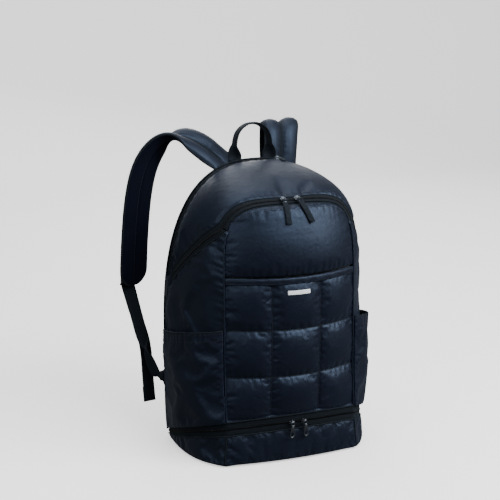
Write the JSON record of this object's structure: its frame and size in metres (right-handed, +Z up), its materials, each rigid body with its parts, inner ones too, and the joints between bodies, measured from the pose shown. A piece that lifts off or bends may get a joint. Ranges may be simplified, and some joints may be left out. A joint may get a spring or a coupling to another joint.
{
  "type": "racket backpack",
  "caption": "Puffy quilted sports backpack with an arched main zip, a rear racket zip left open at the top, side pockets, a bottom shoe compartment, grab handle and padded straps.",
  "frame": {"origin": "centre of the base on the floor", "axes": "+Z up, -Y out of the quilted front, +X to the right seen from the front"},
  "size_m": [0.4219, 0.3056, 0.5549],
  "materials": {
    "shell_fabric": "satin",
    "lining": "matte",
    "zip_tape": "matte",
    "zip_coil": "satin",
    "slider_metal": "dark, polished",
    "webbing": "woven",
    "buckle_plastic": "satin",
    "mesh_foam": "mesh",
    "board_plastic": "matte",
    "print_white": "satin"
  },
  "bodies": {
    "bag": {"back_panel": "lining", "back_pad_left": "mesh_foam", "back_pad_right": "mesh_foam", "racket_divider": "lining", "compartment_floor": "lining", "strap_yoke": "webbing", "gusset_left": "shell_fabric", "side_pocket_left": "shell_fabric", "gusset_right": "shell_fabric", "side_pocket_right": "shell_fabric", "top_panel": "shell_fabric", "rear_zip_tape_back": "zip_tape", "rear_zip_tape_front": "zip_tape", "rear_zip_coil": "zip_coil", "main_zip_tape_rear": "zip_tape", "main_zip_tape_left": "zip_tape", "main_zip_coil_left": "zip_coil", "main_zip_tape_right": "zip_tape", "main_zip_coil_right": "zip_coil", "front_panel_lower": "lining", "front_pocket": "shell_fabric", "badge": "print_white", "bottom_zip_tape_upper": "zip_tape", "anchor_tab_left": "webbing", "anchor_tab_right": "webbing"},
    "front_flap": {"front_flap_panel": "shell_fabric", "main_zip_tape_front": "zip_tape", "main_zip_coil_front": "zip_coil"},
    "base": {"base_side_left": "shell_fabric", "base_side_right": "shell_fabric", "base_front": "shell_fabric", "bottom_zip_tape_lower": "zip_tape", "bottom_zip_coil": "zip_coil", "base_floor": "shell_fabric", "base_board": "board_plastic"},
    "main_slider_left": {"main_slider_left": "slider_metal"},
    "main_slider_right": {"main_slider_right": "slider_metal"},
    "main_pull_left": {"main_pull_left": "webbing"},
    "main_pull_right": {"main_pull_right": "webbing"},
    "bottom_slider_left": {"bottom_slider_left": "slider_metal"},
    "bottom_slider_right": {"bottom_slider_right": "slider_metal"},
    "bottom_pull_left": {"bottom_pull_left": "slider_metal"},
    "bottom_pull_right": {"bottom_pull_right": "slider_metal"},
    "rear_slider": {"rear_slider": "slider_metal"},
    "rear_pull": {"rear_pull": "webbing"},
    "grab_handle": {"grab_handle": "webbing"},
    "strap_left": {"strap_left": "mesh_foam", "lower_webbing_left": "webbing"},
    "strap_right": {"strap_right": "mesh_foam", "lower_webbing_right": "webbing"},
    "ladder_lock_left": {"ladder_lock_left": "buckle_plastic"},
    "ladder_lock_right": {"ladder_lock_right": "buckle_plastic"},
    "webbing_tail_left": {"webbing_tail_left": "webbing"},
    "webbing_tail_right": {"webbing_tail_right": "webbing"}
  },
  "joints": [
    {"name": "front_flap_fold", "type": "hinge", "parent": "bag", "child": "front_flap", "pos_m": [0, -0.10581, 0.3315], "axis": [1, 0, 0], "range_deg": [0, 60]},
    {"name": "base_fold", "type": "hinge", "parent": "bag", "child": "base", "pos_m": [0, 0.094, 0.008], "axis": [1, 0, 0], "range_deg": [0, 40]},
    {"name": "main_slider_left_travel", "type": "slide", "parent": "front_flap", "child": "main_slider_left", "axis": [-1, 0, 0], "range_m": [-0.004, 0.03]},
    {"name": "main_slider_right_travel", "type": "slide", "parent": "front_flap", "child": "main_slider_right", "axis": [1, 0, 0], "range_m": [-0.004, 0.03]},
    {"name": "main_pull_left_lift", "type": "hinge", "parent": "main_slider_left", "child": "main_pull_left", "pos_m": [-0.0135, -0.07277, 0.45398], "axis": [-1, 0, 0], "range_deg": [0, 100]},
    {"name": "main_pull_right_lift", "type": "hinge", "parent": "main_slider_right", "child": "main_pull_right", "pos_m": [0.01207, -0.07276, 0.45397], "axis": [-1, 0, 0], "range_deg": [0, 100]},
    {"name": "bottom_slider_left_travel", "type": "slide", "parent": "base", "child": "bottom_slider_left", "axis": [-1, 0, 0], "range_m": [-0.003, 0.03]},
    {"name": "bottom_slider_right_travel", "type": "slide", "parent": "base", "child": "bottom_slider_right", "axis": [1, 0, 0], "range_m": [-0.003, 0.03]},
    {"name": "bottom_pull_left_lift", "type": "hinge", "parent": "bottom_slider_left", "child": "bottom_pull_left", "pos_m": [-0.0065, -0.10369, 0.07224], "axis": [-1, 0, 0], "range_deg": [0, 100]},
    {"name": "bottom_pull_right_lift", "type": "hinge", "parent": "bottom_slider_right", "child": "bottom_pull_right", "pos_m": [0.016, -0.10343, 0.07216], "axis": [-1, 0, 0], "range_deg": [0, 100]},
    {"name": "rear_slider_travel", "type": "slide", "parent": "bag", "child": "rear_slider", "axis": [-0.9964, 0, 0.0847], "range_m": [0, 0.01]},
    {"name": "rear_pull_lift", "type": "hinge", "parent": "rear_slider", "child": "rear_pull", "pos_m": [0.03705, 0.06909, 0.49407], "axis": [-1, 0, 0], "range_deg": [0, 60]},
    {"name": "grab_handle_flop", "type": "hinge", "parent": "bag", "child": "grab_handle", "pos_m": [-0.003, 0.095, 0.49032], "axis": [1, 0, 0], "range_deg": [-10, 35]},
    {"name": "strap_left_swing", "type": "hinge", "parent": "bag", "child": "strap_left", "pos_m": [-0.179, 0.106, 0.108], "axis": [-0.3007, -0.0398, -0.9529], "range_deg": [-8, 60]},
    {"name": "ladder_lock_left_tilt", "type": "hinge", "parent": "strap_left", "child": "ladder_lock_left", "pos_m": [-0.21651, 0.14003, 0.30089], "axis": [0.8473, 0.5278, -0.0594], "range_deg": [0, 35]},
    {"name": "webbing_tail_left_swing", "type": "hinge", "parent": "strap_left", "child": "webbing_tail_left", "pos_m": [-0.22229, 0.14622, 0.27338], "axis": [0.8473, 0.5278, -0.0594], "range_deg": [0, 35]},
    {"name": "strap_right_swing", "type": "hinge", "parent": "bag", "child": "strap_right", "pos_m": [0.177, 0.1175, 0.108], "axis": [0.2859, -0.0087, -0.9582], "range_deg": [-15, 55]},
    {"name": "ladder_lock_right_tilt", "type": "hinge", "parent": "strap_right", "child": "ladder_lock_right", "pos_m": [0.09336, 0.18608, 0.29947], "axis": [0.9744, 0.2096, 0.0811], "range_deg": [0, 35]},
    {"name": "webbing_tail_right_swing", "type": "hinge", "parent": "strap_right", "child": "webbing_tail_right", "pos_m": [0.09459, 0.19133, 0.2712], "axis": [0.9744, 0.2096, 0.0811], "range_deg": [0, 35]}
  ]
}
